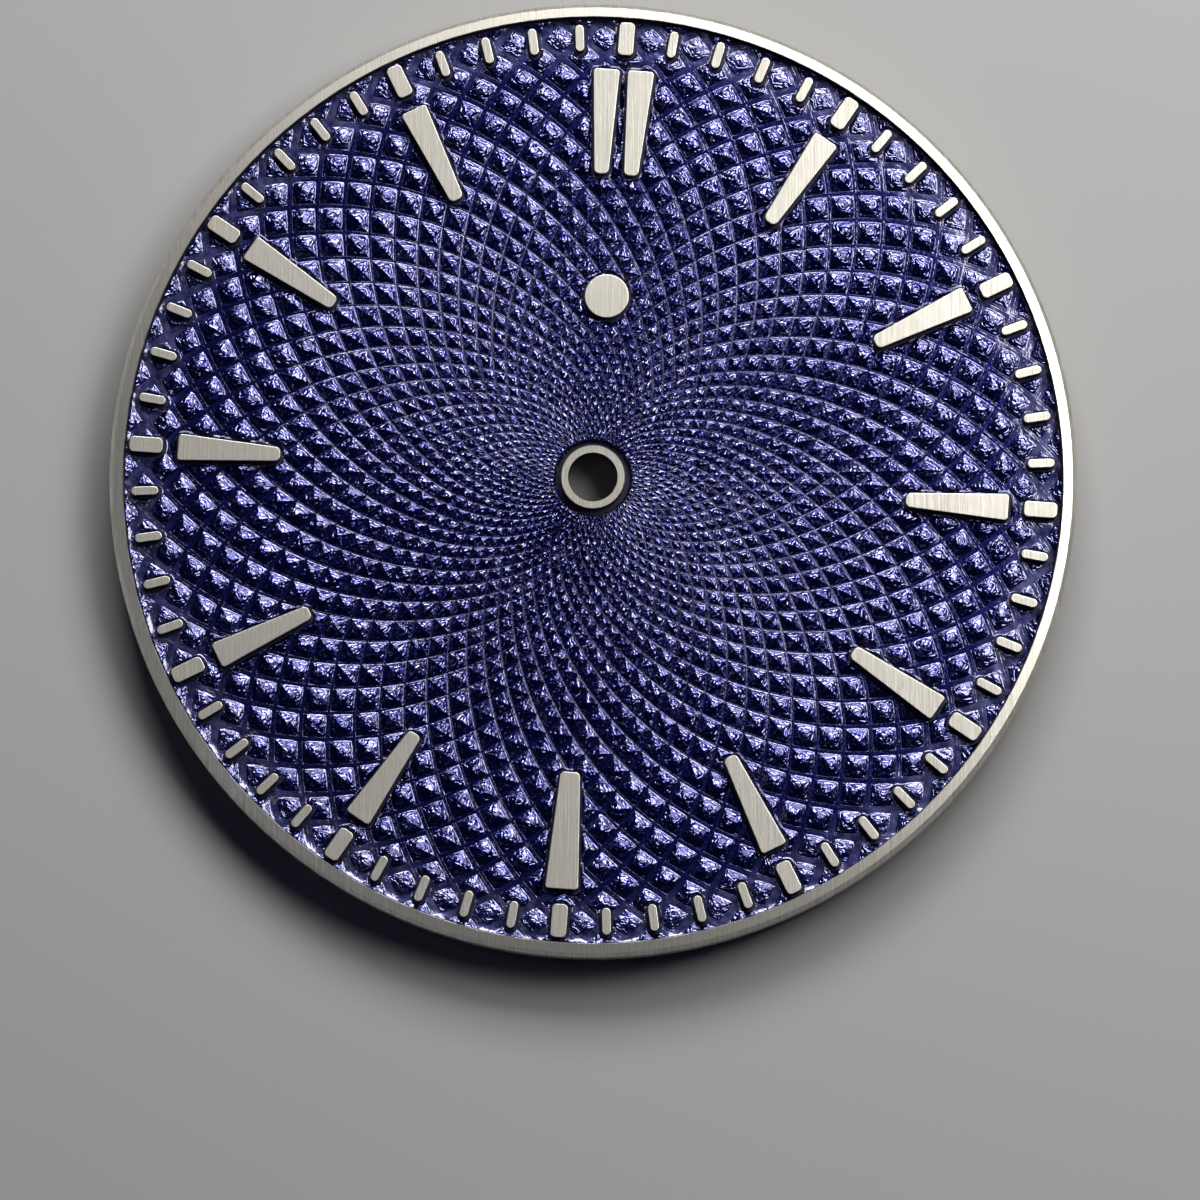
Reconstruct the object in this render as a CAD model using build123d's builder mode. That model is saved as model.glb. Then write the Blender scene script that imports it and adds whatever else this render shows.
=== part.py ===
from build123d import *
import math
import os

# Watch dial, 35 mm across, in millimetres.
# Origin: on the axis of the centre bore, in the plane of the plate's back.
# +Z points out of the dial's face, +Y points to 12, +X points to 3.

# --- dial plate ---------------------------------------------------------
PLATE_R = 17.50        # outer radius
RIM_IN_R = 17.00       # inner wall of the raised rim
FLOOR_Z = 0.45         # floor of the recess, where the field sheet lies
TOP_Z = 0.85           # common level of the rim, the boss and every mark
RIM_FALL = 0.03        # how far the rim's top falls towards its outer edge
RIM_BEVEL_W = 0.14     # outer bevel of the rim, across
RIM_BEVEL_H = 0.20     # outer bevel of the rim, down
BACK_EDGE = 0.08       # small chamfer round the back
BORE_R = 0.90          # centre bore, clears a 1.5 mm hour pipe
BOSS_R = 1.175         # raised boss round the bore
BOSS_BREAK = 0.03      # broken edges of the boss and of the rim's inner edge

# --- patterned field sheet ----------------------------------------------
FIELD_IN_R = 1.33      # leaves a gap round the boss
FIELD_OUT_R = 16.94    # leaves a gap inside the rim
FIELD_TOP_Z = 0.74     # level of the pyramids' points
MARK_GAP = 0.08        # gap between a mark and the field's opening

# --- hour bars ------------------------------------------------------------
BAR_IN_R, BAR_OUT_R = 11.35, 15.06       # inner and outer end
BAR_IN_W, BAR_OUT_W = 0.50, 0.98         # width at the two ends
SIX_IN_R, SIX_OUT_R = 10.81, 15.07
SIX_IN_W, SIX_OUT_W = 0.71, 1.20
TWELVE_IN_R, TWELVE_OUT_R = 11.18, 15.07
TWELVE_IN_GAP, TWELVE_OUT_GAP = 0.56, 0.28   # clear space between the pair
TWELVE_IN_W, TWELVE_OUT_W = 0.52, 0.97
BAR_IN_FILLET, BAR_OUT_FILLET = 0.19, 0.12
BAR_BREAK = 0.02       # broken top edges
BAR_PEG_R = 0.15
BAR_PEGS = (12.30, 14.30)                # radii where the pegs stand

# --- minute track -----------------------------------------------------------
BLOCK_IN_R, BLOCK_OUT_R = 15.62, 16.83
BLOCK_W, BLOCK_FILLET = 0.57, 0.17
BLOCK_PEG_R = 0.15
BATON_IN_R, BATON_OUT_R = 15.73, 16.71
BATON_W = 0.32
BATON_PEG_R = 0.10
TRACK_R = 0.5 * (BATON_IN_R + BATON_OUT_R)

# --- plain disc below 12 ------------------------------------------------------
DISC_R, DISC_AT_R, DISC_PEG_R = 0.80, 6.68, 0.20

# --- pegs and feet --------------------------------------------------------------
PEG_END_Z = 0.03       # pegs end just inside the back
FOOT_R = 0.40          # foot pin
FOOT_LEN = 1.20        # how far it stands out of the back
FOOT_PAD_R = 0.80
FOOT_PAD_T = 0.15
FOOT_AT_R = 15.20      # pitch radius of the feet
FOOT_ANGLES = (-76.5, 103.5)   # clockwise from 12, opposite each other
FOOT_TIP = 0.10        # chamfer of the foot's tip

os.makedirs("parts", exist_ok=True)


def on_dial(angle, z):
    """A plane at height z whose x runs outwards at this clock angle, y anticlockwise of it."""
    a = math.radians(angle)
    return Plane(origin=(0, 0, z), x_dir=(math.sin(a), math.cos(a), 0), z_dir=(0, 0, 1))


def place(angle, radius):
    """X and Y of a point at a clock angle and radius."""
    a = math.radians(angle)
    return (radius * math.sin(a), radius * math.cos(a))


def bar_points(r_in, r_out, w_in, w_out, mid_in=0.0, mid_out=0.0):
    return [
        (r_in, mid_in - w_in / 2),
        (r_out, mid_out - w_out / 2),
        (r_out, mid_out + w_out / 2),
        (r_in, mid_in + w_in / 2),
    ]


# local y of a plane with x outwards and z up runs anticlockwise, so at 12 it points to 9
PAIR_IN = TWELVE_IN_GAP / 2 + TWELVE_IN_W / 2
PAIR_OUT = TWELVE_OUT_GAP / 2 + TWELVE_OUT_W / 2
BARS = {}
for h in range(1, 12):
    if h == 6:
        BARS["hour_bar_06"] = (180.0, bar_points(SIX_IN_R, SIX_OUT_R, SIX_IN_W, SIX_OUT_W), 0.0)
    else:
        BARS["hour_bar_%02d" % h] = (30.0 * h, bar_points(BAR_IN_R, BAR_OUT_R, BAR_IN_W, BAR_OUT_W), 0.0)
BARS["hour_bar_12_left"] = (
    0.0, bar_points(TWELVE_IN_R, TWELVE_OUT_R, TWELVE_IN_W, TWELVE_OUT_W, PAIR_IN, PAIR_OUT), 1.0)
BARS["hour_bar_12_right"] = (
    0.0, bar_points(TWELVE_IN_R, TWELVE_OUT_R, TWELVE_IN_W, TWELVE_OUT_W, -PAIR_IN, -PAIR_OUT), -1.0)


def bar_peg_places(name):
    """The two pegs of a bar, on its own centre line, in its plane's coordinates."""
    angle, pts, side = BARS[name]
    r_in, r_out = pts[0][0], pts[1][0]
    out = []
    for r in BAR_PEGS:
        f = (r - r_in) / (r_out - r_in)
        out.append((r, side * (PAIR_IN + f * (PAIR_OUT - PAIR_IN))))
    return out


BLOCK_ANGLES = [30.0 * k for k in range(1, 13)]
BATON_ANGLES = [6.0 * k for k in range(60) if k % 5 != 0]

# --- the plate: turned profile, then bored, drilled and seated ------------------
with BuildPart() as dial_plate:
    with BuildSketch(Plane.XZ) as plate_profile:
        with BuildLine():
            Polyline(
                (BORE_R, 0),
                (PLATE_R - BACK_EDGE, 0),
                (PLATE_R, BACK_EDGE),
                (PLATE_R, TOP_Z - RIM_BEVEL_H),
                (PLATE_R - RIM_BEVEL_W, TOP_Z - RIM_FALL),
                (RIM_IN_R + BOSS_BREAK, TOP_Z),
                (RIM_IN_R, TOP_Z - BOSS_BREAK),
                (RIM_IN_R, FLOOR_Z),
                (BOSS_R, FLOOR_Z),
                (BOSS_R, TOP_Z - BOSS_BREAK),
                (BOSS_R - BOSS_BREAK, TOP_Z),
                (BORE_R, TOP_Z),
                close=True,
            )
        make_face()
    revolve(axis=Axis.Z, revolution_arc=360)
    # peg holes, drilled right through the floor
    for bar_name, (angle, pts, side) in BARS.items():
        with BuildSketch(on_dial(angle, 0)):
            with Locations(*bar_peg_places(bar_name)):
                Circle(BAR_PEG_R)
        extrude(amount=FLOOR_Z, mode=Mode.SUBTRACT)
    with BuildSketch(Plane.XY):
        with PolarLocations(TRACK_R, 12):
            Circle(BLOCK_PEG_R)
        with Locations(*[place(a, TRACK_R) for a in BATON_ANGLES]):
            Circle(BATON_PEG_R)
        with Locations(place(0, DISC_AT_R)):
            Circle(DISC_PEG_R)
    extrude(amount=FLOOR_Z, mode=Mode.SUBTRACT)
    # seats for the pads of the two feet
    with BuildSketch(Plane.XY):
        with Locations(*[place(a, FOOT_AT_R) for a in FOOT_ANGLES]):
            Circle(FOOT_PAD_R)
    extrude(amount=FOOT_PAD_T, mode=Mode.SUBTRACT)
dial_plate.part.label = "dial_plate"
export_step(dial_plate.part, "parts/dial_plate.step")

# --- the patterned field sheet, open round every mark --------------------------
with BuildPart() as guilloche_field:
    with BuildSketch(Plane.XY.offset(FLOOR_Z)):
        Circle(FIELD_OUT_R)
        Circle(FIELD_IN_R, mode=Mode.SUBTRACT)
        for a in BLOCK_ANGLES:
            with Locations(Location((*place(a, 0.5 * (BLOCK_IN_R + BLOCK_OUT_R)), 0), (0, 0, 90 - a))):
                RectangleRounded(BLOCK_OUT_R - BLOCK_IN_R + 2 * MARK_GAP, BLOCK_W + 2 * MARK_GAP,
                                 BLOCK_FILLET + MARK_GAP, mode=Mode.SUBTRACT)
        for a in BATON_ANGLES:
            with Locations(Location((*place(a, TRACK_R), 0), (0, 0, 90 - a))):
                SlotOverall(BATON_OUT_R - BATON_IN_R + 2 * MARK_GAP, BATON_W + 2 * MARK_GAP,
                            mode=Mode.SUBTRACT)
        with Locations(place(0, DISC_AT_R)):
            Circle(DISC_R + MARK_GAP, mode=Mode.SUBTRACT)
    extrude(amount=FIELD_TOP_Z - FLOOR_Z)
    for bar_name, (angle, pts, side) in BARS.items():
        with BuildSketch(on_dial(angle, FLOOR_Z)):
            with BuildLine():
                Polyline(*pts, close=True)
            make_face()
            offset(amount=MARK_GAP, kind=Kind.ARC)
        extrude(amount=FIELD_TOP_Z - FLOOR_Z, mode=Mode.SUBTRACT)
guilloche_field.part.label = "guilloche_field"
export_step(guilloche_field.part, "parts/guilloche_field.step")

# --- hour bars, each on two pegs --------------------------------------------------
for bar_name, (angle, pts, side) in BARS.items():
    with BuildPart() as hour_bar:
        with BuildSketch(on_dial(angle, FLOOR_Z)) as outline:
            with BuildLine():
                Polyline(*pts, close=True)
            make_face()
            by_radius = outline.vertices().sort_by(lambda v: v.X**2 + v.Y**2)
            fillet(by_radius[:2], BAR_IN_FILLET)
            by_radius = outline.vertices().sort_by(lambda v: v.X**2 + v.Y**2)
            fillet(by_radius[-2:], BAR_OUT_FILLET)
        extrude(amount=TOP_Z - FLOOR_Z)
        chamfer(hour_bar.edges().group_by(Axis.Z)[-1], BAR_BREAK)
        with BuildSketch(on_dial(angle, PEG_END_Z)):
            with Locations(*bar_peg_places(bar_name)):
                Circle(BAR_PEG_R)
        extrude(amount=FLOOR_Z - PEG_END_Z)
    hour_bar.part.label = bar_name
    export_step(hour_bar.part, "parts/%s.step" % bar_name)

# --- five-minute blocks, each on one peg -------------------------------------------
for k, a in enumerate(BLOCK_ANGLES, start=1):
    block_name = "minute_block_%02d" % (5 * k)
    with BuildPart() as minute_block:
        with BuildSketch(on_dial(a, FLOOR_Z)):
            with Locations((0.5 * (BLOCK_IN_R + BLOCK_OUT_R), 0)):
                RectangleRounded(BLOCK_OUT_R - BLOCK_IN_R, BLOCK_W, BLOCK_FILLET)
        extrude(amount=TOP_Z - FLOOR_Z)
        chamfer(minute_block.edges().group_by(Axis.Z)[-1], BAR_BREAK)
        with BuildSketch(on_dial(a, PEG_END_Z)):
            with Locations((TRACK_R, 0)):
                Circle(BLOCK_PEG_R)
        extrude(amount=FLOOR_Z - PEG_END_Z)
    minute_block.part.label = block_name
    export_step(minute_block.part, "parts/%s.step" % block_name)

# --- minute batons: forty-eight separate solids in one node -------------------------
with BuildPart() as minute_batons:
    for a in BATON_ANGLES:
        with BuildSketch(on_dial(a, FLOOR_Z)):
            with Locations((TRACK_R, 0)):
                SlotOverall(BATON_OUT_R - BATON_IN_R, BATON_W)
        extrude(amount=TOP_Z - FLOOR_Z)
    chamfer(minute_batons.edges().group_by(Axis.Z)[-1], BAR_BREAK)
    with BuildSketch(Plane.XY.offset(PEG_END_Z)):
        with Locations(*[place(a, TRACK_R) for a in BATON_ANGLES]):
            Circle(BATON_PEG_R)
    extrude(amount=FLOOR_Z - PEG_END_Z)
minute_batons.part.label = "minute_batons"
export_step(minute_batons.part, "parts/minute_batons.step")

# --- plain round disc below 12, on one peg ---------------------------------------------
with BuildPart() as emblem_disc:
    with BuildSketch(Plane.XY.offset(FLOOR_Z)):
        with Locations(place(0, DISC_AT_R)):
            Circle(DISC_R)
    extrude(amount=TOP_Z - FLOOR_Z)
    chamfer(emblem_disc.edges().group_by(Axis.Z)[-1], BAR_BREAK)
    with BuildSketch(Plane.XY.offset(PEG_END_Z)):
        with Locations(place(0, DISC_AT_R)):
            Circle(DISC_PEG_R)
    extrude(amount=FLOOR_Z - PEG_END_Z)
emblem_disc.part.label = "emblem_disc"
export_step(emblem_disc.part, "parts/emblem_disc.step")

# --- the two feet: a pad let into the back and a pin standing out of it -------------------
for foot_name, a in zip(("dial_foot_a", "dial_foot_b"), FOOT_ANGLES):
    with BuildPart() as dial_foot:
        with BuildSketch(Plane.XY):
            with Locations(place(a, FOOT_AT_R)):
                Circle(FOOT_PAD_R)
        extrude(amount=FOOT_PAD_T)
        with BuildSketch(Plane.XY):
            with Locations(place(a, FOOT_AT_R)):
                Circle(FOOT_R)
        extrude(amount=-FOOT_LEN)
        chamfer(dial_foot.edges().group_by(Axis.Z)[0], FOOT_TIP)
    dial_foot.part.label = foot_name
    export_step(dial_foot.part, "parts/%s.step" % foot_name)
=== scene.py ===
import sys
import bpy
import math
import numpy as np
from mathutils import Matrix, Vector
from mathutils.geometry import delaunay_2d_cdt


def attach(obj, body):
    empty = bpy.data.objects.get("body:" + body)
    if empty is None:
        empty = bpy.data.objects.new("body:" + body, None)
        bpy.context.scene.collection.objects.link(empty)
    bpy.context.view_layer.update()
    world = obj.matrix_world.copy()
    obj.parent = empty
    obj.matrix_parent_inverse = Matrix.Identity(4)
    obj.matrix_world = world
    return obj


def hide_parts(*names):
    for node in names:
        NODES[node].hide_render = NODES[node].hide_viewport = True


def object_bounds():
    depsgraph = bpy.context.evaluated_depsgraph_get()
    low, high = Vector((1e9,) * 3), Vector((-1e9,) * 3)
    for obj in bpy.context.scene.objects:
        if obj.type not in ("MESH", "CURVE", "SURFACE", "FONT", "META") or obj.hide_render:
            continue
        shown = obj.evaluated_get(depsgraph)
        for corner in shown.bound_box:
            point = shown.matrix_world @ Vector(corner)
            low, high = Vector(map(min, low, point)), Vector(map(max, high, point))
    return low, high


# Looks for the watch dial. Lengths here are in millimetres until a mesh is made.
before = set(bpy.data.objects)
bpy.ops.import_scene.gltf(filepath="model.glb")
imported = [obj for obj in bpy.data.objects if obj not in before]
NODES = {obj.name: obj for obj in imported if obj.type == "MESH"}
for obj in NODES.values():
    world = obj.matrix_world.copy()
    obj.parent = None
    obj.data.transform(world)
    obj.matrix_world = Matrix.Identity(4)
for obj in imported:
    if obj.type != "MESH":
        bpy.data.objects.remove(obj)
CAD_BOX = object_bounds()
MM = 0.001
RNG = np.random.RandomState(62)

# --- the dial's dimensions, as in the CAD ------------------------------------
PLATE_R, RIM_IN_R = 17.50, 17.00
FLOOR_Z, TOP_Z, PEG_END_Z = 0.45, 0.85, 0.03
BORE_R, BOSS_R = 0.90, 1.175
FIELD_IN_R, FIELD_OUT_R, FIELD_TOP_Z = 1.33, 16.94, 0.74
MARK_GAP = 0.08
BAR_IN_R, BAR_OUT_R, BAR_IN_W, BAR_OUT_W = 11.35, 15.06, 0.50, 0.98
SIX_IN_R, SIX_OUT_R, SIX_IN_W, SIX_OUT_W = 10.81, 15.07, 0.71, 1.20
TWELVE_IN_R, TWELVE_OUT_R = 11.18, 15.07
TWELVE_IN_GAP, TWELVE_OUT_GAP, TWELVE_IN_W, TWELVE_OUT_W = 0.56, 0.28, 0.52, 0.97
BAR_IN_FILLET, BAR_OUT_FILLET = 0.19, 0.12
BAR_PEG_R, BAR_PEGS = 0.15, (12.30, 14.30)
BLOCK_IN_R, BLOCK_OUT_R, BLOCK_W, BLOCK_FILLET, BLOCK_PEG_R = 15.62, 16.83, 0.57, 0.17, 0.15
BATON_IN_R, BATON_OUT_R, BATON_W, BATON_PEG_R = 15.73, 16.71, 0.32, 0.10
TRACK_R = 0.5 * (BATON_IN_R + BATON_OUT_R)
DISC_R, DISC_AT_R, DISC_PEG_R = 0.80, 6.68, 0.20


# =============================================================================
# outlines of the marks
# =============================================================================
def on_dial(angle, pts):
    """Points given outwards and anticlockwise at a clock angle, in X and Y."""
    a = math.radians(angle)
    p = np.asarray(pts, float)
    out = np.empty_like(p)
    out[:, 0] = p[:, 0] * math.sin(a) - p[:, 1] * math.cos(a)
    out[:, 1] = p[:, 0] * math.cos(a) + p[:, 1] * math.sin(a)
    return out


def rounded(corners, radii, steps=7):
    """A closed anticlockwise outline with its corners rounded."""
    c = np.asarray(corners, float)
    n = len(c)
    out = []
    for i in range(n):
        p, a, b, r = c[i], c[i - 1], c[(i + 1) % n], radii[i]
        u, v = a - p, b - p
        u, v = u / np.linalg.norm(u), v / np.linalg.norm(v)
        half = 0.5 * math.acos(float(np.clip(u @ v, -1, 1)))
        d = r / math.tan(half)
        mid = u + v
        centre = p + mid / np.linalg.norm(mid) * (r / math.sin(half))
        s, e = p + u * d - centre, p + v * d - centre
        t0, t1 = math.atan2(s[1], s[0]), math.atan2(e[1], e[0])
        while t1 < t0:
            t1 += 2 * math.pi
        for k in range(steps + 1):
            t = t0 + (t1 - t0) * k / steps
            out.append(centre + r * np.array([math.cos(t), math.sin(t)]))
    return np.array(out)


def circle(r, steps, at=(0.0, 0.0)):
    t = 2 * math.pi * np.arange(steps) / steps
    return np.stack([at[0] + r * np.cos(t), at[1] + r * np.sin(t)], 1)


def bar_corners(r_in, r_out, w_in, w_out, mid_in=0.0, mid_out=0.0):
    return [
        (r_in, mid_in - w_in / 2),
        (r_out, mid_out - w_out / 2),
        (r_out, mid_out + w_out / 2),
        (r_in, mid_in + w_in / 2),
    ]


PAIR_IN = TWELVE_IN_GAP / 2 + TWELVE_IN_W / 2
PAIR_OUT = TWELVE_OUT_GAP / 2 + TWELVE_OUT_W / 2
BAR_RADII = (BAR_IN_FILLET, BAR_OUT_FILLET, BAR_OUT_FILLET, BAR_IN_FILLET)

MARKS = {}      # node -> list of (outline, [(peg x, peg y, peg radius)])


def add_bar(node, angle, corners, side):
    pegs = []
    for r in BAR_PEGS:
        f = (r - corners[0][0]) / (corners[1][0] - corners[0][0])
        x, y = on_dial(angle, [(r, side * (PAIR_IN + f * (PAIR_OUT - PAIR_IN)))])[0]
        pegs.append((x, y, BAR_PEG_R))
    MARKS[node] = [(on_dial(angle, rounded(corners, BAR_RADII)), pegs)]


for h in range(1, 12):
    if h == 6:
        add_bar("hour_bar_06", 180.0, bar_corners(SIX_IN_R, SIX_OUT_R, SIX_IN_W, SIX_OUT_W), 0.0)
    else:
        add_bar("hour_bar_%02d" % h, 30.0 * h, bar_corners(BAR_IN_R, BAR_OUT_R, BAR_IN_W, BAR_OUT_W), 0.0)
add_bar("hour_bar_12_left", 0.0,
        bar_corners(TWELVE_IN_R, TWELVE_OUT_R, TWELVE_IN_W, TWELVE_OUT_W, PAIR_IN, PAIR_OUT), 1.0)
add_bar("hour_bar_12_right", 0.0,
        bar_corners(TWELVE_IN_R, TWELVE_OUT_R, TWELVE_IN_W, TWELVE_OUT_W, -PAIR_IN, -PAIR_OUT), -1.0)
for k in range(1, 13):
    box = bar_corners(BLOCK_IN_R, BLOCK_OUT_R, BLOCK_W, BLOCK_W)
    x, y = on_dial(30.0 * k, [(TRACK_R, 0.0)])[0]
    MARKS["minute_block_%02d" % (5 * k)] = [
        (on_dial(30.0 * k, rounded(box, (BLOCK_FILLET,) * 4)), [(x, y, BLOCK_PEG_R)])]
MARKS["minute_batons"] = []
for k in range(60):
    if k % 5:
        box = bar_corners(BATON_IN_R, BATON_OUT_R, BATON_W, BATON_W)
        x, y = on_dial(6.0 * k, [(TRACK_R, 0.0)])[0]
        MARKS["minute_batons"].append(
            (on_dial(6.0 * k, rounded(box, (BATON_W / 2 - 1e-4,) * 4)), [(x, y, BATON_PEG_R)]))
MARKS["emblem_disc"] = [(circle(DISC_R, 96, (0.0, DISC_AT_R)), [(0.0, DISC_AT_R, DISC_PEG_R)])]
OUTLINES = [o for group in MARKS.values() for o, pegs in group]


def outline_distance(pts, outline):
    """Signed distance to a closed outline, positive outside, and the nearest point on it."""
    a = outline
    b = np.roll(outline, -1, axis=0)
    ab = b - a
    best = np.full(len(pts), 1e9)
    near = np.zeros_like(pts)
    wind = np.zeros(len(pts), int)
    for i in range(len(a)):
        ap = pts - a[i]
        t = np.clip((ap @ ab[i]) / max(float(ab[i] @ ab[i]), 1e-18), 0, 1)
        q = a[i] + t[:, None] * ab[i]
        d = np.hypot(pts[:, 0] - q[:, 0], pts[:, 1] - q[:, 1])
        m = d < best
        best[m] = d[m]
        near[m] = q[m]
        cross = ab[i][0] * ap[:, 1] - ab[i][1] * ap[:, 0]
        up = (a[i][1] <= pts[:, 1]) & (b[i][1] > pts[:, 1]) & (cross > 0)
        down = (a[i][1] > pts[:, 1]) & (b[i][1] <= pts[:, 1]) & (cross < 0)
        wind += up.astype(int) - down.astype(int)
    return np.where(wind != 0, -best, best), near


def cut_distance(pts, reach=0.7):
    """Distance from the nearest mark, less its gap, and the direction away from it."""
    dist = np.full(len(pts), reach)
    away = np.zeros_like(pts)
    for o in OUTLINES:
        c = 0.5 * (o.min(0) + o.max(0))
        rad = np.hypot(*(o - c).T).max() + reach + MARK_GAP
        idx = np.nonzero((pts[:, 0] - c[0]) ** 2 + (pts[:, 1] - c[1]) ** 2 < rad * rad)[0]
        if not len(idx):
            continue
        d, near = outline_distance(pts[idx], o)
        g = pts[idx] - near
        g = g * np.sign(d)[:, None]
        g = g / np.maximum(np.hypot(g[:, 0], g[:, 1]), 1e-9)[:, None]
        d = d - MARK_GAP
        m = d < dist[idx]
        dist[idx[m]] = d[m]
        away[idx[m]] = g[m]
    return dist, away


# =============================================================================
# the field: two opposed families of spiral grooves
# =============================================================================
ARMS = 62
TRACK_UNIT = 16.23
LEAN_R = np.array([0.0, .07, .10, .15, .20, .25, .30, .35, .40, .45, .50, .55, .60, .65, .70, .78, .84, .95, 1.10]) * TRACK_UNIT
LEAN = np.array([.20, .30, .38, .48, .54, .62, .675, .70, .705, .71, .72, .738, .765, .80, .84, .925, 1.00, 1.13, 1.30])
_r = np.linspace(0.9, 17.6, 4000)
_lean = np.interp(_r, LEAN_R, LEAN)
_k = np.exp(-0.5 * (np.arange(-120, 121) / 45.0) ** 2)
_lean = np.convolve(np.pad(_lean, 120, mode="edge"), _k / _k.sum(), mode="valid")
_phi = np.concatenate([[0.0], np.cumsum(0.5 * (_lean[1:] / _r[1:] + _lean[:-1] / _r[:-1]) * np.diff(_r))])
PHASE_R, PHASE_A = 10.76, math.radians(90.2)     # where one pyramid has its point
_phi -= np.interp(PHASE_R, _r, _phi)
STEP = 2 * math.pi / ARMS


def phi_of(r):
    return np.interp(r, _r, _phi)


def r_of(phi):
    return np.interp(phi, _phi, _r)


N = 8       # pieces per side of a pyramid
VALLEY_R = np.array([0.0, 7.0, 9.0, 11.0, 12.5, 13.5, 14.5, 15.2, 15.8, 16.3, 18.0])
VALLEY = np.array([.05, .05, .05, .07, .11, .14, .17, .19, .21, .23, .30])     # flat of a groove, as a share of the half pitch
FOOT = 0.10             # steep foot of a pyramid, likewise


def profile_places(r):
    valley = np.interp(r, VALLEY_R, VALLEY)
    return valley, np.minimum(FOOT, 0.7 * (1 - valley))


def toward_groove(i, places):
    """Moves the even row number i, counted from a pyramid's point, to the place that its row has in the profile."""
    k = (i + N // 2) % N
    near = np.minimum(k, N - k)
    off = places[near] * (N // 2)
    return np.where(k <= N // 2, i - k + off, i - k + N - off)


def field_lattice():
    """Vertices as (angle, phi) and triangles of the even lattice between boss and rim."""
    h = STEP / (2 * N)          # phi and angle advance by this along one piece's half diagonal
    d0 = int(math.floor(phi_of(FIELD_IN_R - 0.03) / h)) - 1
    d1 = int(math.ceil(phi_of(FIELD_OUT_R + 0.05) / h)) + 1
    rows = np.arange(d0, d1 + 1)
    per = ARMS * N
    ang = np.empty((len(rows), per))
    phi = np.empty((len(rows), per))
    for k, d in enumerate(rows):
        a = 2 * np.arange(per) + (d & 1)
        valley, foot = profile_places(r_of(d * h))
        places = np.array([0.0, valley, valley + foot, 0.45 * (valley + foot) + 0.55, 1.0])
        u, v = [toward_groove((a + s * d) // 2, places) for s in (1, -1)]
        ang[k] = (u + v) * h + PHASE_A
        phi[k] = (u - v) * h
    # rows hold u - v = d; a piece has corners (A,d) (A+1,d-1) (A+2,d) (A+1,d+1)
    tris = []
    for k in range(1, len(rows) - 1):
        d = rows[k]
        odd = d & 1
        j = np.arange(per)
        left = k * per + j
        right = k * per + (j + 1) % per
        jj = (j + odd) % per            # the neighbour rows' vertex between left and right
        low = (k - 1) * per + jj
        high = (k + 1) * per + jj
        # place in the pyramid: u and v of the piece's centre, in pieces from a point
        A = 2 * j + odd + 1
        u = (A + d) / 2.0
        v = (A - d) / 2.0
        iu = np.floor(u + N / 2.0).astype(int) % N
        iv = np.floor(v + N / 2.0).astype(int) % N
        radial = (iu + iv) == N - 1
        t = radial
        tris.append(np.stack([low[t], high[t], left[t]], 1))
        tris.append(np.stack([low[t], right[t], high[t]], 1))
        t = ~radial
        tris.append(np.stack([left[t], low[t], right[t]], 1))
        tris.append(np.stack([left[t], right[t], high[t]], 1))
    return ang.ravel(), phi.ravel(), np.concatenate(tris)


def to_xy(ang, phi):
    r = r_of(phi)
    return np.stack([r * np.sin(ang), r * np.cos(ang)], 1)


def refine(ang, phi, tris, wants):
    """Splits the triangles that wants() names, and their neighbours so that no edge is left half split."""
    xy = to_xy(ang, phi)
    red = wants(xy, tris)
    n = len(ang)
    e = np.stack([tris[:, [0, 1]], tris[:, [1, 2]], tris[:, [2, 0]]], 1).reshape(-1, 2)
    es = np.sort(e, 1)
    key = es[:, 0].astype(np.int64) * n + es[:, 1]
    uniq, inv = np.unique(key, return_inverse=True)
    inv = inv.reshape(-1, 3)
    while True:
        split = np.zeros(len(uniq), bool)
        split[inv[red].ravel()] = True
        count = split[inv].sum(1)
        more = (count >= 2) & ~red
        if not more.any():
            break
        red |= more
    ids = np.nonzero(split)[0]
    ea, eb = uniq[ids] // n, uniq[ids] % n
    s = np.sin(ang[ea]) + np.sin(ang[eb])
    c = np.cos(ang[ea]) + np.cos(ang[eb])
    new_ang = np.arctan2(s, c)
    new_phi = 0.5 * (phi[ea] + phi[eb])
    place = np.full(len(uniq), -1)
    place[ids] = n + np.arange(len(ids))
    mid = place[inv]
    out = [tris[(~red) & (split[inv].sum(1) == 0)]]
    r, m = tris[red], mid[red]
    out += [np.stack([r[:, 0], m[:, 0], m[:, 2]], 1), np.stack([m[:, 0], r[:, 1], m[:, 1]], 1),
            np.stack([m[:, 2], m[:, 1], r[:, 2]], 1), np.stack([m[:, 0], m[:, 1], m[:, 2]], 1)]
    for k in range(3):
        g = (~red) & (split[inv].sum(1) == 1) & (mid[:, k] >= 0)
        t, mm = tris[g], mid[g][:, k]
        a, b, c3 = t[:, k], t[:, (k + 1) % 3], t[:, (k + 2) % 3]
        out += [np.stack([a, mm, c3], 1), np.stack([mm, b, c3], 1)]
    return np.concatenate([ang, new_ang]), np.concatenate([phi, new_phi]), np.concatenate(out)


def smooth01(x):
    x = np.clip(x, 0, 1)
    return x * x * (3 - 2 * x)


def value_noise(xy, size, seed):
    """Smooth noise between -1 and 1 with features of this size in millimetres."""
    table = np.random.RandomState(seed).uniform(-1, 1, (512, 512))
    ca, sa = math.cos(seed * 0.7), math.sin(seed * 0.7)
    x = (xy[:, 0] * ca - xy[:, 1] * sa) / size + 311.7
    y = (xy[:, 0] * sa + xy[:, 1] * ca) / size + 173.3
    xi, yi = np.floor(x).astype(int), np.floor(y).astype(int)
    fx, fy = smooth01(x - xi), smooth01(y - yi)
    a, b = table[yi % 512, xi % 512], table[yi % 512, (xi + 1) % 512]
    c, d = table[(yi + 1) % 512, xi % 512], table[(yi + 1) % 512, (xi + 1) % 512]
    return (a * (1 - fx) + b * fx) * (1 - fy) + (c * (1 - fx) + d * fx) * fy


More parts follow.
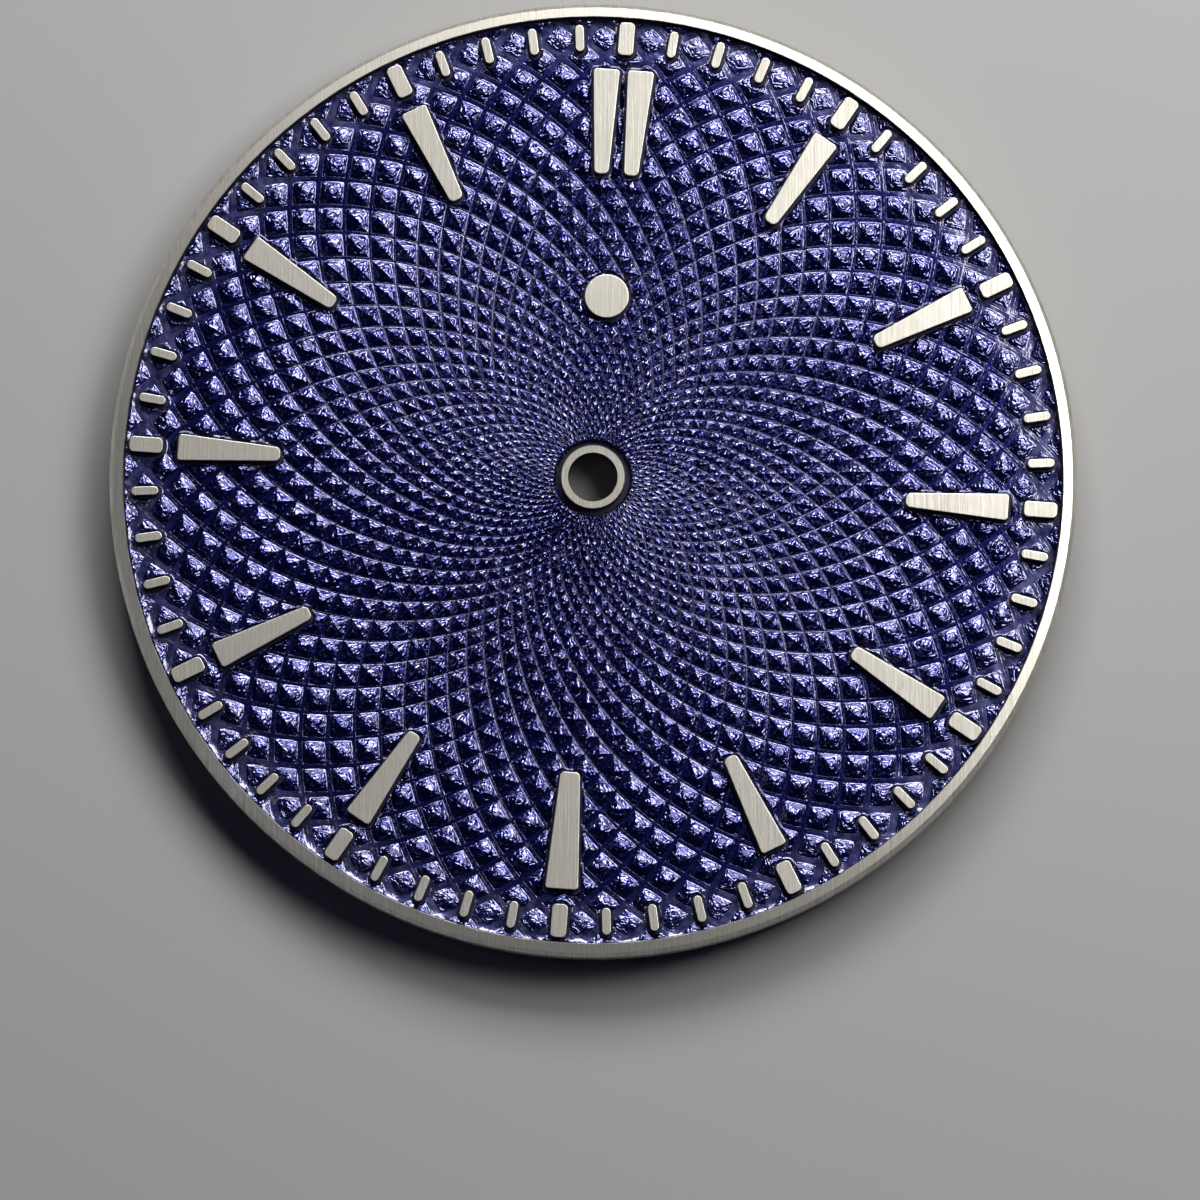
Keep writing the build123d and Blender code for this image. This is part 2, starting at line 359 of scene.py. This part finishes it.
SLOPE, FOOT_SLOPE = 0.66, 0.90      # of the pyramids' sides, and of their feet
WALL_SLOPE = 3.0        # of the cut round each mark


def groove_distance(xy, soft=False):
    """How far each point lies from the nearest groove, in millimetres, and the pitch there."""
    r = np.hypot(xy[:, 0], xy[:, 1])
    ang = np.arctan2(xy[:, 0], xy[:, 1])
    phi = phi_of(r)
    u = (ang - PHASE_A + phi) / STEP + 0.5
    v = (ang - PHASE_A - phi) / STEP + 0.5
    lean = np.interp(r, _r, _lean)
    pitch = 2 * math.pi * r / ARMS / np.sqrt(1 + lean ** 2)
    a, b = np.abs(u - np.round(u)) * pitch, np.abs(v - np.round(v)) * pitch
    if soft:
        width = 0.5 * pitch * (0.06 + 0.20 * smooth01((r - 10.0) / 2.5) + 0.30 * smooth01((r - 14.8) / 1.2))
        near = np.clip(1 - np.abs(a - b) / width, 0, 1)
        return np.minimum(a, b) - 0.25 * width * near * near, pitch
    return np.minimum(a, b), pitch


def field_height(xy, cut):
    """Height of the field's top at each point; cut is the distance from the marks' openings."""
    r = np.hypot(xy[:, 0], xy[:, 1])
    groove, pitch = groove_distance(xy, soft=True)
    half = 0.5 * pitch
    m = groove / half                               # 0 in a groove, 1 at a point
    valley, foot = profile_places(r)
    t = np.clip((m - valley) / foot, 0, 1)
    f = np.clip((m - valley - foot) / (1 - valley - foot), 0, 1)
    rise_foot = FOOT_SLOPE * foot * half
    rise_face = SLOPE * (1 - valley - foot) * half
    whole = rise_foot + rise_face
    low = 1.0 - 0.66 * smooth01((r - 14.7) / 1.9)
    part = np.minimum(1.0, 0.25 / whole) * low
    level = np.maximum(FIELD_TOP_Z - 0.012 - np.minimum(whole, 0.25), 0.478)
    level = np.where(r > 12.5, 0.478, level)
    hill = (rise_foot * t + rise_face * (f + 0.12 * f * (1 - f))) * part
    # crushed, uneven faces
    rough = 0.35 + 0.65 * smooth01(pitch / 0.8)
    on_hill = smooth01((m - valley) / 0.25)
    crinkle = (0.0140 * value_noise(xy, 0.30, 3) + 0.0080 * value_noise(xy, 0.17, 5)
               + 0.0035 * value_noise(xy, 0.10, 8)) * rough * on_hill
    track = smooth01((r - 14.6) / 1.0)
    crinkle = crinkle + track * 0.020 * (0.6 * value_noise(xy, 0.50, 11) + 0.4 * value_noise(xy, 0.25, 12))
    z = level + hill + crinkle
    edge = 0.018 * value_noise(xy, 0.16, 21)
    wall = 0.468 + np.maximum(cut - 0.040 + edge * (cut > 0.05), 0) * WALL_SLOPE
    crest = np.clip((wall - z) / WALL_SLOPE, -0.3, 0.3)
    z = np.minimum(z, wall)
    inner = 0.47 + np.maximum(r - FIELD_IN_R, 0) * 3.0
    z = np.minimum(z, inner)
    # the coating runs up in a fillet at the foot of the rim
    lip = 0.545 + 0.030 * value_noise(xy, 0.5, 14) * smooth01((FIELD_OUT_R - r) / 0.1)
    near = smooth01((r - 16.62) / 0.10)
    z = z * (1 - near) + np.minimum(z, lip) * near
    z = z + 0.045 * np.clip((r - 16.70) / 0.24, 0, 1) ** 2 * (1.0 + 0.8 * value_noise(xy, 0.22, 17))
    return np.clip(z, FLOOR_Z + 0.012, FIELD_TOP_Z), crest


def build_field():
    ang, phi, tris = field_lattice()
    for limit, band in ((0.100, 0.42), (0.055, 0.26)):
        def wants(xy, t, limit=limit, band=band):
            cut, away = cut_distance(xy)
            r = np.hypot(xy[:, 0], xy[:, 1])
            cut = np.minimum(cut, FIELD_OUT_R + 0.10 - r)
            near = (cut < band) & (cut > -0.12)
            long = np.zeros(len(t))
            for i in range(3):
                p, q = xy[t[:, i]], xy[t[:, (i + 1) % 3]]
                long = np.maximum(long, np.hypot(*(p - q).T))
            return near[t].any(1) & (long > limit)
        ang, phi, tris = refine(ang, phi, tris, wants)
    xy = to_xy(ang, phi)
    cut, away = cut_distance(xy)
    r = np.hypot(xy[:, 0], xy[:, 1])
    out = xy / r[:, None]
    # the boss and the rim are cuts of the same kind
    for d, g in ((r - FIELD_IN_R, out), (FIELD_OUT_R - r, -out)):
        m = d < cut
        cut = np.where(m, d, cut)
        away = np.where(m[:, None], g, away)
    keep = (cut[tris] > 0).any(1)
    tris = tris[keep]
    used = np.zeros(len(xy), bool)
    used[tris.ravel()] = True
    snap = used & (cut < 0.012)
    xy[snap] -= away[snap] * cut[snap][:, None]
    # again, because the first move can cross a corner's bisector
    c2, a2 = cut_distance(xy[snap])
    r2 = np.hypot(xy[snap][:, 0], xy[snap][:, 1])
    move = (c2 < 0) & (c2 > -0.1)
    fixed = xy[snap]
    fixed[move] -= a2[move] * c2[move][:, None]
    xy[snap] = fixed
    tris = tris[~snap[tris].all(1)]
    # drop slivers
    p, q, s = xy[tris[:, 0]], xy[tris[:, 1]], xy[tris[:, 2]]
    area = 0.5 * ((q[:, 0] - p[:, 0]) * (s[:, 1] - p[:, 1]) - (q[:, 1] - p[:, 1]) * (s[:, 0] - p[:, 0]))
    tris = tris[np.abs(area) > 1e-7]
    area = area[np.abs(area) > 1e-7]
    flip = area < 0
    if flip.mean() > 0.5:
        tris = tris[:, ::-1]
    used = np.zeros(len(xy), bool)
    used[tris.ravel()] = True
    index = np.cumsum(used) - 1
    tris = index[tris]
    xy = xy[used]
    cut, away = cut_distance(xy)
    z, crest = field_height(xy, cut)
    return xy, z, tris, crest


def boundary_edges(tris, n):
    e = np.concatenate([tris[:, [0, 1]], tris[:, [1, 2]], tris[:, [2, 0]]])
    key = e[:, 0].astype(np.int64) * n + e[:, 1]
    back = e[:, 1].astype(np.int64) * n + e[:, 0]
    return e[~np.isin(key, back)]


def mesh_from(name, verts_mm, faces, material=None, smooth=False):
    me = bpy.data.meshes.new(name)
    v = np.asarray(verts_mm, float) * MM
    if isinstance(faces, np.ndarray):
        me.vertices.add(len(v))
        me.vertices.foreach_set("co", v.ravel())
        me.loops.add(faces.size)
        me.loops.foreach_set("vertex_index", faces.astype(np.int32).ravel())
        me.polygons.add(len(faces))
        k = faces.shape[1]
        me.polygons.foreach_set("loop_start", np.arange(0, faces.size, k, dtype=np.int32))
        me.polygons.foreach_set("loop_total", np.full(len(faces), k, np.int32))
        me.update(calc_edges=True)
        me.validate()
    else:
        me.from_pydata([tuple(p) for p in v], [], faces)
        me.update()
    if smooth:
        me.polygons.foreach_set("use_smooth", np.ones(len(me.polygons), bool))
    ob = bpy.data.objects.new(name, me)
    bpy.context.scene.collection.objects.link(ob)
    if material:
        me.materials.append(material)
    return ob


# =============================================================================
# materials
# =============================================================================
class Nodes:
    def __init__(self, name):
        self.mat = bpy.data.materials.new(name)
        self.mat.use_nodes = True
        self.t = self.mat.node_tree
        self.t.nodes.clear()
        self.out = self.t.nodes.new("ShaderNodeOutputMaterial")

    def add(self, kind, **values):
        n = self.t.nodes.new(kind)
        for k, v in values.items():
            setattr(n, k, v)
        return n

    def link(self, a, b):
        self.t.links.new(a, b)

    def math(self, op, a, b=None, clamp=False):
        n = self.add("ShaderNodeMath", operation=op, use_clamp=clamp)
        for i, x in enumerate((a, b)):
            if x is None:
                continue
            if isinstance(x, (int, float)):
                n.inputs[i].default_value = x
            else:
                self.link(x, n.inputs[i])
        return n.outputs[0]

    def ramp(self, fac, stops):
        n = self.add("ShaderNodeValToRGB")
        while len(n.color_ramp.elements) < len(stops):
            n.color_ramp.elements.new(0.5)
        for e, (pos, col) in zip(n.color_ramp.elements, stops):
            e.position = pos
            e.color = (*col, 1) if len(col) == 3 else col
        self.link(fac, n.inputs[0])
        return n.outputs[0]

    def noise(self, vector, scale, detail=2.0, rough=0.5):
        n = self.add("ShaderNodeTexNoise")
        n.inputs["Scale"].default_value = scale
        n.inputs["Detail"].default_value = detail
        n.inputs["Roughness"].default_value = rough
        self.link(vector, n.inputs["Vector"])
        return n.outputs["Fac"]

    def mix(self, fac, a, b):
        n = self.add("ShaderNodeMix", data_type="RGBA")
        self.link(fac, n.inputs[0])
        for i, x in ((6, a), (7, b)):
            if isinstance(x, tuple):
                n.inputs[i].default_value = (*x, 1)
            else:
                self.link(x, n.inputs[i])
        return n.outputs[2]


def stretched(n, sx, sy, sz, turn=0.0):
    """Object coordinates, in millimetres times these scales, turned about Z first."""
    tc = n.add("ShaderNodeTexCoord")
    m = n.add("ShaderNodeMapping", vector_type="POINT")
    m.inputs["Rotation"].default_value = (0, 0, turn)
    m.inputs["Scale"].default_value = (1000.0, 1000.0, 1000.0)
    n.link(tc.outputs["Object"], m.inputs["Vector"])
    m2 = n.add("ShaderNodeMapping", vector_type="POINT")
    m2.inputs["Scale"].default_value = (sx, sy, sz)
    n.link(m.outputs[0], m2.inputs["Vector"])
    return m2.outputs[0]


BRUSH_TURN = math.radians(-4.35)    # the brushing runs up the dial, a little off the line from 6 to 12


def brushed_parts(n):
    """Streak heights and tones of the single brushing direction."""
    fine = n.noise(stretched(n, 34.0, 0.55, 3.0, BRUSH_TURN), 1.0, 3.0, 0.6)
    wide = n.noise(stretched(n, 9.0, 0.35, 1.0, BRUSH_TURN), 1.0, 2.0, 0.5)
    blot = n.noise(stretched(n, 1.6, 0.9, 1.0, BRUSH_TURN), 1.0, 3.0, 0.6)
    return fine, wide, blot


def metal_shader(n, light, dark, rough_lo, rough_hi, bump=0.5):
    fine, wide, blot = brushed_parts(n)
    tone = n.math("ADD", n.math("MULTIPLY", fine, 0.55), n.math("MULTIPLY", wide, 0.25))
    tone = n.math("ADD", tone, n.math("MULTIPLY", blot, 0.20))
    col = n.ramp(tone, [(0.37, dark), (0.50, tuple(0.5 * (a + b) for a, b in zip(light, dark))), (0.61, light)])
    rough = n.add("ShaderNodeMapRange")
    n.link(tone, rough.inputs["Value"])
    rough.inputs["From Min"].default_value = 0.3
    rough.inputs["From Max"].default_value = 0.7
    rough.inputs["To Min"].default_value = rough_hi
    rough.inputs["To Max"].default_value = rough_lo
    height = n.math("ADD", n.math("MULTIPLY", fine, 0.7), n.math("MULTIPLY", wide, 0.3))
    b = n.add("ShaderNodeBump")
    b.inputs["Strength"].default_value = bump
    b.inputs["Distance"].default_value = 0.000012
    n.link(height, b.inputs["Height"])
    return col, rough.outputs[0], b.outputs[0]


def principled(n, col, rough, normal, metallic, coat=0.0, coat_rough=0.1):
    p = n.add("ShaderNodeBsdfPrincipled")
    p.inputs["Metallic"].default_value = metallic
    if isinstance(col, tuple):
        p.inputs["Base Color"].default_value = (*col, 1)
    else:
        n.link(col, p.inputs["Base Color"])
    if isinstance(rough, float):
        p.inputs["Roughness"].default_value = rough
    else:
        n.link(rough, p.inputs["Roughness"])
    if normal is not None:
        n.link(normal, p.inputs["Normal"])
    if coat:
        p.inputs["Coat Weight"].default_value = coat
        p.inputs["Coat Roughness"].default_value = coat_rough
    return p.outputs[0]


def make_bare_metal(name, light=(0.92, 0.89, 0.81), dark=(0.55, 0.53, 0.47)):
    n = Nodes(name)
    col, rough, normal = metal_shader(n, light, dark, 0.30, 0.44)
    n.link(principled(n, col, rough, normal, 1.0), n.out.inputs[0])
    return n.mat


def make_dark_lacquer(name):
    n = Nodes(name)
    pos = stretched(n, 1, 1, 1)
    grain = n.noise(pos, 9.0, 4.0, 0.6)
    col = n.ramp(grain, [(0.35, (0.006, 0.006, 0.018)), (0.65, (0.022, 0.022, 0.06))])
    b = n.add("ShaderNodeBump")
    b.inputs["Strength"].default_value = 0.5
    b.inputs["Distance"].default_value = 0.00001
    n.link(grain, b.inputs["Height"])
    n.link(principled(n, col, 0.42, b.outputs[0], 0.35), n.out.inputs[0])
    return n.mat


def make_blue_lacquer(name):
    """Glossy deep blue lacquer with a wrinkled skin. The field's attributes are distances in millimetres."""
    n = Nodes(name)
    pos = stretched(n, 1, 1, 1)
    groove, valley, size, crest = [
        n.add("ShaderNodeAttribute", attribute_type="GEOMETRY", attribute_name=word).outputs["Fac"]
        for word in ("groove", "valley", "relief", "crest")]
    place = n.add("ShaderNodeVectorMath", operation="MULTIPLY")
    n.link(pos, place.inputs[0])
    place.inputs[1].default_value = (1.0, 1.0, 0.0)
    far = n.add("ShaderNodeVectorMath", operation="LENGTH")
    n.link(place.outputs[0], far.inputs[0])
    track = n.add("ShaderNodeMapRange", interpolation_type="SMOOTHSTEP")
    n.link(far.outputs["Value"], track.inputs["Value"])
    track.inputs["From Min"].default_value = 14.8
    track.inputs["From Max"].default_value = 16.1
    track = track.outputs[0]
    up = n.math("SUBTRACT", groove, valley)
    # widths shrink with the cells towards the centre
    narrow = n.math("MINIMUM", n.math("ADD", n.math("DIVIDE", far.outputs["Value"], 10.0), 0.05), 1.0)
    hill = n.math("DIVIDE", n.math("SUBTRACT", up, 0.004), n.math("MULTIPLY", narrow, 0.07), clamp=True)
    wobble = n.math("MULTIPLY", n.math("SUBTRACT", n.noise(pos, 3.4, 1.0, 0.5), 0.5), 0.50)
    # a fillet at the foot of each pyramid, folds that follow its sides, and fine folds at random
    foot = n.math("SUBTRACT", 1.0, n.math("DIVIDE", n.math("MAXIMUM", up, 0.0), n.math("MULTIPLY", narrow, 0.045)), clamp=True)
    fillet = n.math("MULTIPLY", n.math("MULTIPLY", n.math("MULTIPLY", foot, foot), n.math("SUBTRACT", size, n.math("ADD", n.math("MULTIPLY", track, 0.31), 0.55))), n.math("MULTIPLY", narrow, 0.033))
    line = n.math("SUBTRACT", 1.0, n.math("DIVIDE", groove, n.math("MULTIPLY", narrow, 0.030)), clamp=True)
    line = n.math("MULTIPLY", line, n.math("MULTIPLY", narrow, 0.002))
    fold = n.math("SINE", n.math("MULTIPLY", n.math("ADD", groove, wobble), 2 * math.pi / 0.130))
    fold = n.math("MULTIPLY", fold, 0.0062)
    fine = n.math("MULTIPLY", n.noise(pos, 7.6, 0.6, 0.5), 0.031)
    amount = n.math("ADD", n.math("MULTIPLY", hill, 0.88), 0.12)
    amount = n.math("MULTIPLY", amount, n.math("DIVIDE", n.math("SUBTRACT", crest, 0.005), 0.055, clamp=True))
    folds = n.math("MULTIPLY", n.math("ADD", fold, fine), amount)
    # a bead of lacquer along the crest of the cut round each mark, weak beside the track's small marks
    bead = n.math("EXPONENT", n.math("MULTIPLY", n.math("MULTIPLY", crest, crest), -1.0 / 0.032 ** 2))
    bead = n.math("MULTIPLY", bead, n.math("SUBTRACT", 0.034, n.math("MULTIPLY", track, 0.026)))
    height = n.math("ADD", n.math("ADD", line, bead), n.math("ADD", fillet, n.math("MULTIPLY", folds, n.math("SUBTRACT", 1.45, n.math("MULTIPLY", narrow, 0.45)))))
    b = n.add("ShaderNodeBump")
    b.inputs["Strength"].default_value = 1.0
    b.inputs["Distance"].default_value = 0.001
    n.link(height, b.inputs["Height"])
    grain = n.noise(pos, 8.0, 2.0, 0.6)
    col = n.ramp(grain, [(0.36, (0.006, 0.009, 0.15)), (0.53, (0.014, 0.019, 0.23)), (0.67, (0.046, 0.057, 0.41))])
    # painted shade: the valley floors between the pyramids get a darker base colour, standing in for the shade that
    # falls there as well as for thicker lacquer pooled in them
    valley_painted_shade = n.math("ADD", n.math("MULTIPLY", hill, 0.50), 0.50)
    col = n.mix(valley_painted_shade, (0.003, 0.004, 0.030), col)
    # thin, greyish and dull on the flat track
    haze = n.ramp(n.noise(stretched(n, 2.6, 2.6, 2.6), 1.0, 3.0, 0.62), [(0.38, (0.026, 0.027, 0.078)), (0.62, (0.108, 0.110, 0.220))])
    flat = n.math("MULTIPLY", track, n.math("SUBTRACT", 1.0, n.math("MULTIPLY", hill, 0.7)))
    col = n.mix(n.math("MULTIPLY", flat, 0.60), col, haze)
    p = n.add("ShaderNodeBsdfPrincipled")
    n.link(col, p.inputs["Base Color"])
    n.link(b.outputs[0], p.inputs["Normal"])
    n.link(b.outputs[0], p.inputs["Coat Normal"])
    p.inputs["Metallic"].default_value = 1.0
    rough = n.math("ADD", n.math("MULTIPLY", flat, 0.14), n.math("SUBTRACT", 0.29, n.math("MULTIPLY", hill, 0.03)))
    n.link(rough, p.inputs["Roughness"])
    p.inputs["Coat Weight"].default_value = 1.0
    p.inputs["Coat Roughness"].default_value = 0.11
    p.inputs["Coat IOR"].default_value = 2.1
    n.link(p.outputs[0], n.out.inputs[0])
    return n.mat


def make_plate(name):
    """Bare brushed metal on the rim's top, the boss's top, the outer wall and the back; dark lacquer in the recess."""
    n = Nodes(name)
    tc = n.add("ShaderNodeTexCoord")
    sep = n.add("ShaderNodeSeparateXYZ")
    n.link(tc.outputs["Object"], sep.inputs[0])
    x, y, z = sep.outputs
    r = n.math("SQRT", n.math("ADD", n.math("MULTIPLY", x, x), n.math("MULTIPLY", y, y)))
    above = n.math("GREATER_THAN", z, 0.000445)
    inside = n.math("LESS_THAN", r, 0.01701)
    low = n.math("LESS_THAN", z, 0.000815)
    beyond = n.math("GREATER_THAN", r, 0.00095)
    lacquered = n.math("MULTIPLY", n.math("MULTIPLY", above, inside), n.math("MULTIPLY", low, beyond))
    bore = n.math("MULTIPLY", n.math("LESS_THAN", r, 0.000925), n.math("MULTIPLY", n.math("LESS_THAN", z, 0.00080), n.math("GREATER_THAN", z, 0.00002)))
    lacquered = n.math("MAXIMUM", lacquered, bore)
    col, rough, normal = metal_shader(n, (0.90, 0.87, 0.79), (0.56, 0.54, 0.48), 0.26, 0.40)
    bare = principled(n, col, rough, normal, 1.0)
    lac = principled(n, (0.012, 0.012, 0.035), 0.42, None, 0.3)
    mix = n.add("ShaderNodeMixShader")
    n.link(lacquered, mix.inputs[0])
    n.link(bare, mix.inputs[1])
    n.link(lac, mix.inputs[2])
    n.link(mix.outputs[0], n.out.inputs[0])
    return n.mat


def make_copper(name):
    n = Nodes(name)
    pos = stretched(n, 1, 1, 1)
    grain = n.noise(pos, 7.0, 4.0, 0.6)
    rings = n.noise(stretched(n, 1.0, 1.0, 26.0), 1.0, 2.0, 0.5)
    tone = n.math("ADD", n.math("MULTIPLY", grain, 0.6), n.math("MULTIPLY", rings, 0.4))
    col = n.ramp(tone, [(0.35, (0.42, 0.17, 0.08)), (0.65, (0.83, 0.45, 0.29))])
    b = n.add("ShaderNodeBump")
    b.inputs["Strength"].default_value = 0.5
    b.inputs["Distance"].default_value = 0.00001
    n.link(tone, b.inputs["Height"])
    n.link(principled(n, col, 0.33, b.outputs[0], 1.0), n.out.inputs[0])
    return n.mat


BARE = make_bare_metal("brushed_bare_metal")
DARK = make_dark_lacquer("dark_lacquer")
BLUE = make_blue_lacquer("blue_lacquer")
PLATE = make_plate("plate_metal")
COPPER = make_copper("copper")

# =============================================================================
# pieces
# =============================================================================
# --- the field ----------------------------------------------------------------
xy, z, tris, crest = build_field()
n_top = len(xy)
edges = boundary_edges(tris, n_top)
rim_ids = np.unique(edges.ravel())
lower = {int(v): n_top + i for i, v in enumerate(rim_ids)}
low_map = np.zeros(n_top, int)
low_map[rim_ids] = n_top + np.arange(len(rim_ids))
bottom_z = FLOOR_Z + 0.002
verts = np.concatenate([np.column_stack([xy, z]),
                        np.column_stack([xy[rim_ids], np.full(len(rim_ids), bottom_z)])])
skirt_a = np.stack([edges[:, 1], edges[:, 0], low_map[edges[:, 0]]], 1)
skirt_b = np.stack([edges[:, 1], low_map[edges[:, 0]], low_map[edges[:, 1]]], 1)
# the underside, as few large triangles between the same edges
local = {int(v): i for i, v in enumerate(rim_ids)}
cdt = delaunay_2d_cdt([Vector((float(a), float(b))) for a, b in xy[rim_ids]],
                      [(local[int(a)], local[int(b)]) for a, b in edges], [], 0, 1e-7, True)
cv = np.array([tuple(p) for p in cdt[0]])
origin = cdt[3]
ct = np.array([f for f in cdt[2]])
mid = cv[ct].mean(1)
mid_cut, _ = cut_distance(mid)
mid_r = np.hypot(mid[:, 0], mid[:, 1])
inside = (mid_cut > 0) & (mid_r > FIELD_IN_R * 0.99)
# a triangle with all three corners on one opening's edge lies in that opening only if its middle does
ct = ct[inside]
first = np.array([o[0] if len(o) else -1 for o in origin])
ok = (first[ct] >= 0).all(1)
ct = ct[ok]
under = n_top + first[ct]
p, q, s = verts[under[:, 0]], verts[under[:, 1]], verts[under[:, 2]]
turn = (q[:, 0] - p[:, 0]) * (s[:, 1] - p[:, 1]) - (q[:, 1] - p[:, 1]) * (s[:, 0] - p[:, 0])
under[turn > 0] = under[turn > 0][:, ::-1]
top_face = tris
p, q, s = verts[top_face[:, 0]], verts[top_face[:, 1]], verts[top_face[:, 2]]
turn = (q[:, 0] - p[:, 0]) * (s[:, 1] - p[:, 1]) - (q[:, 1] - p[:, 1]) * (s[:, 0] - p[:, 0])
print("field: top faces", len(tris), "turned the wrong way", int((turn < 0).sum()), "edge", len(edges), "under", len(under), file=sys.stderr)
field = mesh_from("guilloche_sheet", verts, np.concatenate([top_face, skirt_a, skirt_b, under]), BLUE)
groove, pitch = groove_distance(verts[:, :2])
relief = 0.65 + 0.35 * smooth01((pitch - 0.25) / 0.55)
valley = profile_places(np.hypot(verts[:, 0], verts[:, 1]))[0] * 0.5 * pitch
crest = np.concatenate([crest, np.full(len(rim_ids), -0.3)])
for word, values in (("groove", groove), ("relief", relief), ("valley", valley), ("crest", crest)):
    field.data.attributes.new(word, "FLOAT", "POINT").data.foreach_set("value", values.astype(np.float32))
field.data.polygons.foreach_set("use_smooth", np.ones(len(field.data.polygons), bool))
# only the sheet's own edges stay sharp
ends = np.empty(2 * len(field.data.edges), np.int32)
field.data.edges.foreach_get("vertices", ends)
ends = ends.reshape(-1, 2)
crease = np.zeros(len(verts), bool)
crease[rim_ids] = True
crease[n_top:] = True
field.data.set_sharp_from_angle(angle=math.radians(26))
sharp = np.zeros(len(ends), bool)
field.data.attributes["sharp_edge"].data.foreach_get("value", sharp)
sharp |= crease[ends].all(1) | (np.abs(groove - valley) < 0.002)[ends].all(1)
field.data.attributes["sharp_edge"].data.foreach_set("value", sharp)
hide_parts("guilloche_field")
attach(field, "root")


# --- the marks: each with a rounded top edge, straight sides and its pegs ---------
def inset(outline, amount):
    """The outline moved inwards by amount."""
    p = outline
    t = np.roll(p, -1, 0) - np.roll(p, 1, 0)
    t /= np.maximum(np.hypot(t[:, 0], t[:, 1]), 1e-12)[:, None]
    return p + amount * np.stack([-t[:, 1], t[:, 0]], 1)


def mark_mesh(parts, edge=0.022):
    verts, faces, looks = [], [], []

    def ring(pts, zz):
        start = len(verts)
        verts.extend((a, b, zz) for a, b in pts)
        return list(range(start, start + len(pts)))

    def band(lo, hi, look):
        n = len(lo)
        for i in range(n):
            j = (i + 1) % n
            faces.append((lo[i], lo[j], hi[j], hi[i]))
            looks.append(look)

    for outline, pegs in parts:
        rings = [ring(outline, FLOOR_Z), ring(outline, TOP_Z - edge)]
        band(rings[0], rings[1], 1)
        for k in range(1, 4):
            t = 0.5 * math.pi * k / 3
            rings.append(ring(inset(outline, edge * (1 - math.cos(t))), TOP_Z - edge + edge * math.sin(t)))
            band(rings[-2], rings[-1], 0)
        faces.append(tuple(rings[-1]))
        looks.append(0)
        faces.append(tuple(reversed(rings[0])))
        looks.append(1)
        for px, py, pr in pegs:
            c = circle(pr, 24, (px, py))
            ci = circle(pr - 0.015, 24, (px, py))
            a, b, d = ring(ci, PEG_END_Z), ring(c, PEG_END_Z + 0.015), ring(c, FLOOR_Z + 0.02)
            band(a, b, 0)
            band(b, d, 0)
            faces.append(tuple(reversed(a)))
            looks.append(0)
            faces.append(tuple(d))
            looks.append(0)
    return np.array(verts), faces, looks


for node, parts in MARKS.items():
    v, f, looks = mark_mesh(parts)
    ob = mesh_from(node + "_finished", v, f)
    ob.data.materials.append(BARE)
    ob.data.materials.append(DARK)
    ob.data.polygons.foreach_set("material_index", np.array(looks, np.int32))
    ob.data.update()
    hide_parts(node)
    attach(ob, "root")

# --- the plate and the feet keep their CAD shape ---------------------------------
for name, mat in (("dial_plate", PLATE), ("dial_foot_a", COPPER), ("dial_foot_b", COPPER)):
    me = NODES[name].data
    me.materials.clear()
    me.materials.append(mat)

# =============================================================================
# floor, light and camera
# =============================================================================
LOW_Z = CAD_BOX[0][2]
floor_mesh = bpy.data.meshes.new("floor")
S = 1.2
floor_mesh.from_pydata([(-S, -S, LOW_Z), (S, -S, LOW_Z), (S, S, LOW_Z), (-S, S, LOW_Z)], [], [(0, 1, 2, 3)])
floor = bpy.data.objects.new("floor", floor_mesh)
bpy.context.scene.collection.objects.link(floor)
n = Nodes("pale_floor")
n.link(principled(n, (0.37, 0.372, 0.374), 0.9, None, 0.0), n.out.inputs[0])
floor_mesh.materials.append(n.mat)

world = bpy.data.worlds.new("studio")
bpy.context.scene.world = world
world.use_nodes = True
bg = world.node_tree.nodes.get("Background") or world.node_tree.nodes.new("ShaderNodeBackground")
bg.inputs[0].default_value = (0.20, 0.28, 1.0, 1)
bg.inputs[1].default_value = 0.020


def area_light(name, at, aim, width, height, power, colour=(1, 1, 1)):
    li = bpy.data.lights.new(name, "AREA")
    li.shape = "RECTANGLE"
    li.size, li.size_y = width, height
    li.energy = power
    li.color = colour
    ob = bpy.data.objects.new(name, li)
    ob.location = at
    ob.rotation_euler = (Vector(aim) - Vector(at)).to_track_quat("-Z", "Y").to_euler()
    bpy.context.scene.collection.objects.link(ob)
    return ob


area_light("light_top", (0.010, 0.140, 0.120), (0, 0.0, 0), 0.15, 0.07, 0.36, (1.0, 0.98, 0.95))
area_light("light_over", (-0.095, -0.010, 0.40), (0, 0, 0), 0.05, 0.05, 0.012, (0.97, 0.98, 1.0))
area_light("light_right", (0.062, 0.044, 0.105), (0, 0, 0), 0.07, 0.07, 0.092, (1.0, 0.98, 0.94))

cam_data = bpy.data.cameras.new("camera")
cam = bpy.data.objects.new("camera", cam_data)
bpy.context.scene.collection.objects.link(cam)
# rows: the camera's right, up and backward directions in the dial's frame
VIEW = Matrix(((0.9971629727800473, 0.07488471138882906, -0.007634508279553427),
               (-0.07269698538597401, 0.9843791823199607, 0.16035203064157572),
               (0.01952316655284884, -0.15934210182904307, 0.9870303645544307)))
cam.matrix_world = Matrix.Translation((0.008506, -0.069054, 0.40085)) @ VIEW.transposed().to_4x4()
cam_data.sensor_width = 36.0
cam_data.lens = 11225.13 / 1200.0 * 36.0
cam_data.clip_start = 0.01
cam_data.clip_end = 10.0
bpy.context.scene.camera = cam
bpy.context.scene.view_settings.view_transform = "Standard"
